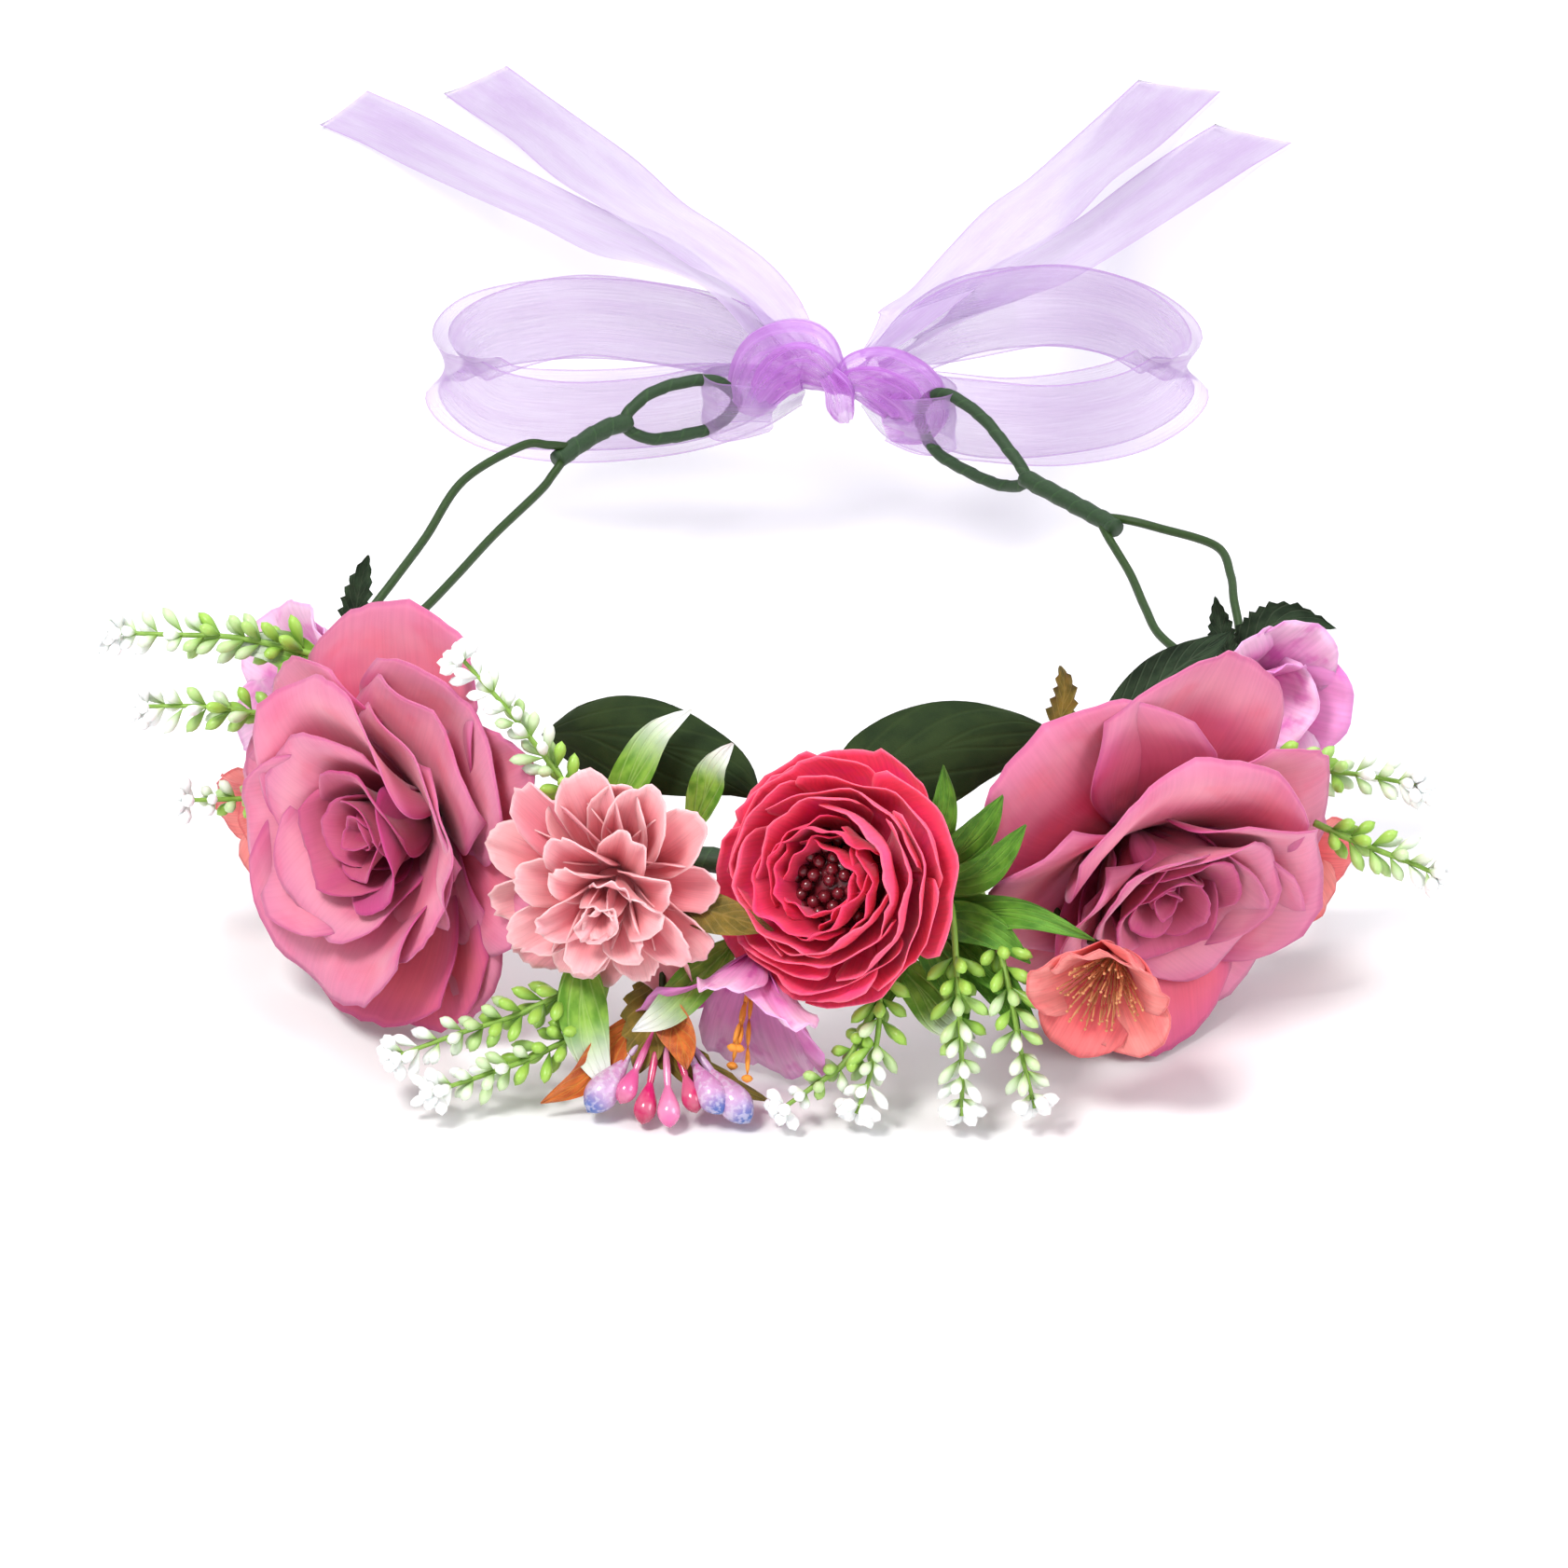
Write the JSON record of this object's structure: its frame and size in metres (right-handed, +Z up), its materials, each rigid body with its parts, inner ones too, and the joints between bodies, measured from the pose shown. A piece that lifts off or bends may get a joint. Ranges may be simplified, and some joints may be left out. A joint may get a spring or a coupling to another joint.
{
  "type": "flower crown",
  "caption": "Half-ring flower crown of cloth roses, ranunculus, dahlia and sprigs on a taped wire, with bendable wire arms and eyes tied behind by a sheer ribbon bow.",
  "frame": {"origin": "centre of the head ring, on the plane of the table that the crown lies on", "axes": "+Z up through the head opening, +Y from the flowers towards the ribbon bow, +X to the wearer's left when the flowers face the viewer"},
  "size_m": [0.2938, 0.4999, 0.0963],
  "materials": {
    "band_wire": "drawn steel wire",
    "stem_tape": "waxed green crepe tape",
    "arm_wire": "green coating on soft wire",
    "calyx_plastic": "moulded green plastic",
    "rose_cloth": "ribbed mauve-pink petal cloth with dark rims",
    "rose_heart_cloth": "darker pink petal cloth",
    "seed_gloss": "glossy maroon",
    "crimson_cloth": "deep crimson petal cloth",
    "raspberry_cloth": "raspberry pink petal cloth with pale rims",
    "salmon_cloth": "salmon pink petal cloth",
    "stamen_thread": "tan stiffened threads",
    "orange_stamen": "orange",
    "coral_cloth": "coral petal cloth",
    "lilac_cloth": "lilac to orchid petal cloth",
    "satin_leaf": "ribbed dark green satin",
    "dark_leaf_cloth": "dark green veined cloth",
    "bright_leaf_plastic": "soft bright green plastic",
    "olive_leaf_cloth": "olive and orange cloth",
    "drop_gloss": "glossy and sugared drops",
    "sprig_plastic": "lime plastic with white tips",
    "organza": "sheer lilac organza",
    "folded_organza": "gathered lilac organza"
  },
  "bodies": {
    "crown": {"band_wire": "band_wire", "band_tape": "stem_tape", "left_rose_calyx": "calyx_plastic", "left_rose_outer_petals": "rose_cloth", "left_rose_middle_petals": "rose_cloth", "left_rose_bud": "rose_heart_cloth", "right_rose_calyx": "calyx_plastic", "right_rose_outer_petals": "rose_cloth", "right_rose_middle_petals": "rose_cloth", "right_rose_bud": "rose_heart_cloth", "ranunculus_calyx": "calyx_plastic", "ranunculus_outer_petals": "raspberry_cloth", "ranunculus_middle_petals": "raspberry_cloth", "ranunculus_inner_petals": "crimson_cloth", "ranunculus_berry_centre": "seed_gloss", "dahlia_outer_petals": "salmon_cloth", "dahlia_inner_petals": "salmon_cloth", "dahlia_core": "salmon_cloth", "coral_blossom_petals": "coral_cloth", "coral_blossom_stamens": "stamen_thread", "lily_petals": "lilac_cloth", "lily_stamen": "orange_stamen", "left_lilac_flower": "lilac_cloth", "right_lilac_flower": "lilac_cloth", "left_coral_flower": "coral_cloth", "right_coral_flower": "coral_cloth", "left_satin_leaf": "satin_leaf", "right_satin_leaf": "satin_leaf", "left_serrated_leaf": "dark_leaf_cloth", "right_serrated_leaf": "dark_leaf_cloth", "right_end_leaf": "dark_leaf_cloth", "leaf_cluster": "bright_leaf_plastic", "berry_pick_leaves": "olive_leaf_cloth", "berry_pick_drops": "drop_gloss", "top_sprig": "sprig_plastic", "left_middle_sprig": "sprig_plastic", "left_lower_sprig": "sprig_plastic", "right_upper_sprig": "sprig_plastic", "hanging_left_sprig": "sprig_plastic", "hanging_right_sprig": "sprig_plastic", "low_centre_sprig": "sprig_plastic", "low_left_sprig": "sprig_plastic", "low_outer_sprig": "sprig_plastic"},
    "tie_back": {"left_arm_upper_wire": "arm_wire", "left_arm_lower_wire": "arm_wire", "left_tie_loop": "stem_tape", "right_arm_outer_wire": "arm_wire", "right_arm_inner_wire": "arm_wire", "right_tie_loop": "stem_tape", "left_ribbon_wrap": "folded_organza", "right_ribbon_wrap": "folded_organza", "bow_knot": "folded_organza", "left_bow_loop": "folded_organza", "right_bow_loop": "folded_organza", "left_outer_tail": "organza", "left_inner_tail": "organza", "right_inner_tail": "organza", "right_outer_tail": "organza"},
    "left_sprig": {"left_upper_sprig": "sprig_plastic"},
    "right_sprig": {"right_lower_sprig": "sprig_plastic"}
  },
  "joints": [
    {"name": "back_bend", "type": "hinge", "parent": "crown", "child": "tie_back", "pos_m": [0, -0.0145, 0.046], "axis": [1, 0, 0], "range_deg": [0, 20]},
    {"name": "left_sprig_flex", "type": "hinge", "parent": "crown", "child": "left_sprig", "pos_m": [-0.102, -0.048, 0.068], "axis": [0, 0, 1], "range_deg": [-8, 8], "stiffness_Nm_per_rad": 0.005},
    {"name": "right_sprig_flex", "type": "hinge", "parent": "crown", "child": "right_sprig", "pos_m": [0.115, -0.07, 0.039], "axis": [0, 0, 1], "range_deg": [-8, 8], "stiffness_Nm_per_rad": 0.005}
  ]
}
